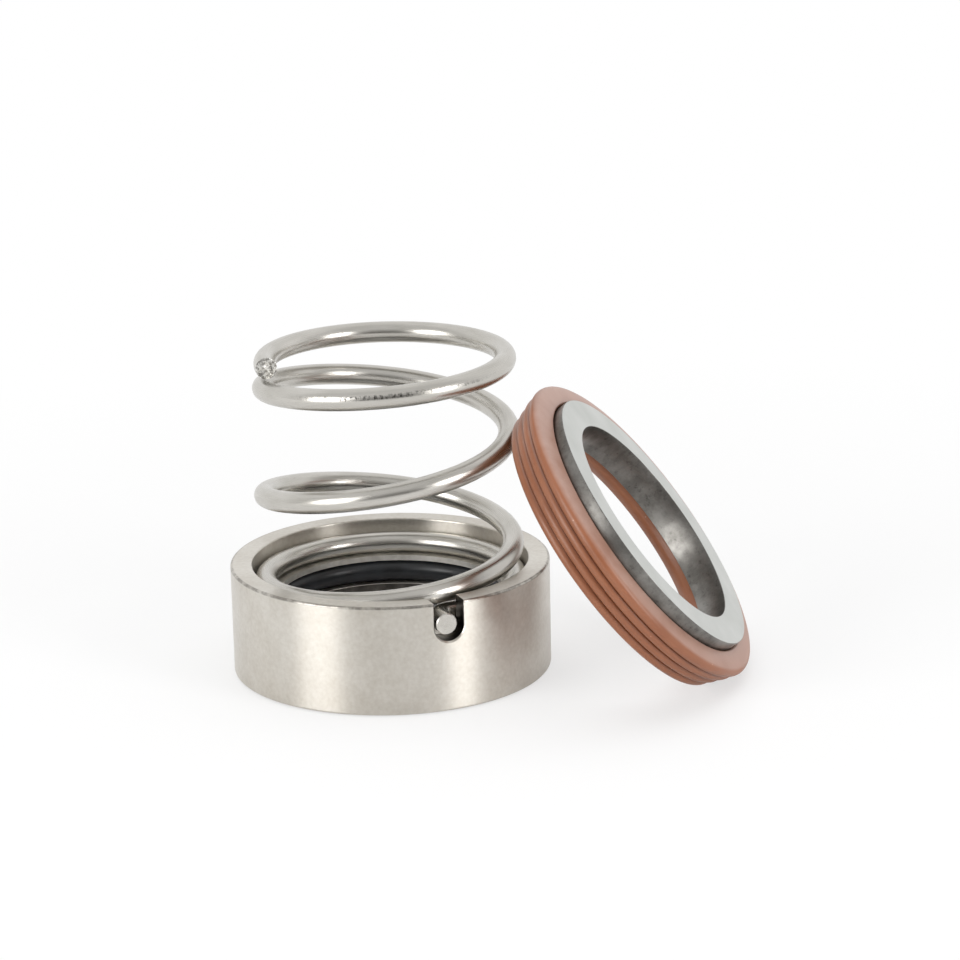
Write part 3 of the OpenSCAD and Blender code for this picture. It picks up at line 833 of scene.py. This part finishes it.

# %% [markdown]
# ## Seat boot: askew on its ring
#
# The soft cup sits two degrees askew on its hard ring, so its outside and its pocket turn round two
# different axes. Two open outlines are spun and joined by bridging their end circles inside the pocket and
# inside the bore. Each point also stores how close it lies to a groove, for the rubber's painted shade there.

# %% Seat boot
CANT = 2.0
GROOVE_SHADE = 0.40
shell = spin_outline(bmesh.new(), outside, closed=False)
round_corners(shell, outside)
# How near each point lies to a groove, for the painted shade there
groove_shade_layer = shell.verts.layers.float.new("groove")
for v in shell.verts:
    nearest = min((Vector((v.co.xy.length, v.co.z)) / MM - g).length for g in grooves)
    v[groove_shade_layer] = max(0, 1 - nearest / GROOVE_SHADE)
askew = (Matrix.Translation((0, 0, -PROUD * MM)) @ Matrix.Rotation(radians(CANT), 4, "X")
         @ Matrix.Translation((0, 0, PROUD * MM)))
bmesh.ops.transform(shell, matrix=askew, verts=shell.verts)
spin_outline(shell, inside, closed=False)
ends = [e for e in shell.edges if e.is_boundary]
bmesh.ops.bridge_loops(shell, edges=[e for e in ends if e.verts[0].co.z > -SEAT_T * MM])
bmesh.ops.bridge_loops(shell, edges=[e for e in ends if e.verts[0].co.z < -SEAT_T * MM])
bmesh.ops.transform(shell, matrix=SEAT, verts=shell.verts)
boot = as_piece(shell, "boot", rubber, sharp=50)
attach(boot, "seal")
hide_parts("seat_boot")

# %% [markdown]
# ## Black O-ring, washer and hard face
#
# Three pieces keep their CAD shape, which is already exact, and only need a finish. The O-ring is moulded
# nitrile rubber with a faint blue sheen from its wax. The washer is stamped from bright strip, so its edge
# shows as a pale line above the O-ring. The hard face underneath is dark silicon carbide, lapped until it is
# almost a mirror.

# %% Nitrile, bright strip and carbide
WAX, ROLLING, CARBIDE_GRAIN = 3 * MM, 1.5 * MM, 0.3 * MM
nitrile, tree, shader = new_finish("nitrile rubber, waxed")
point = add(tree, "TexCoord").outputs["Object"]
wax = add(tree, "TexNoise", {"Vector": point, "Scale": 1 / WAX, "Detail": 4.0})
tone = add(tree, "MapRange", {0: wax.outputs[0], 1: 0.35, 2: 0.65, 3: 0.0, 4: 1.0})
black = add(tree, "Mix", {0: tone.outputs[0], 6: linear("#1B1C1E"), 7: linear("#26282C")}, data_type="RGBA")
gloss = add(tree, "MapRange", {0: wax.outputs[0], 1: 0.35, 2: 0.65, 3: 0.28, 4: 0.42})
feed(tree, shader, {"Base Color": black.outputs[2], "Roughness": gloss.outputs[0]})

strip, tree, shader = new_finish("stainless strip, bright rolled")
point = add(tree, "TexCoord").outputs["Object"]
rolling = add(tree, "TexNoise", {"Vector": point, "Scale": 1 / ROLLING, "Detail": 4.0})
tone = add(tree, "MapRange", {0: rolling.outputs[0], 1: 0.35, 2: 0.65, 3: 0.0, 4: 1.0})
rolled = add(tree, "Mix", {0: tone.outputs[0], 6: linear("#DAD6CE"), 7: linear("#F0EDE6")}, data_type="RGBA")
feed(tree, shader, {"Metallic": 1.0, "Base Color": rolled.outputs[2], "Roughness": 0.5})

carbide, tree, shader = new_finish("silicon carbide, lapped")
point = add(tree, "TexCoord").outputs["Object"]
grains = add(tree, "TexNoise", {"Vector": point, "Scale": 1 / CARBIDE_GRAIN, "Detail": 3.0})
tone = add(tree, "MapRange", {0: grains.outputs[0], 1: 0.4, 2: 0.6, 3: 0.0, 4: 1.0})
dark = add(tree, "Mix", {0: tone.outputs[0], 6: linear("#3A3C3F"), 7: linear("#4A4C50")}, data_type="RGBA")
gloss = add(tree, "MapRange", {0: grains.outputs[0], 1: 0.3, 2: 0.7, 3: 0.16, 4: 0.24})
feed(tree, shader, {"Base Color": dark.outputs[2], "Roughness": gloss.outputs[0], "IOR": 2.6})

for node, finish in (("shaft_o_ring", nitrile), ("thrust_washer", strip), ("rotary_face", carbide)):
    mesh = frame["nodes"][node].data
    mesh.materials.clear()
    mesh.materials.append(finish)
    mesh.shade_smooth()
    mesh.set_sharp_from_angle(angle=radians(SHARP_FROM))
    print(node, "is", finish.name)
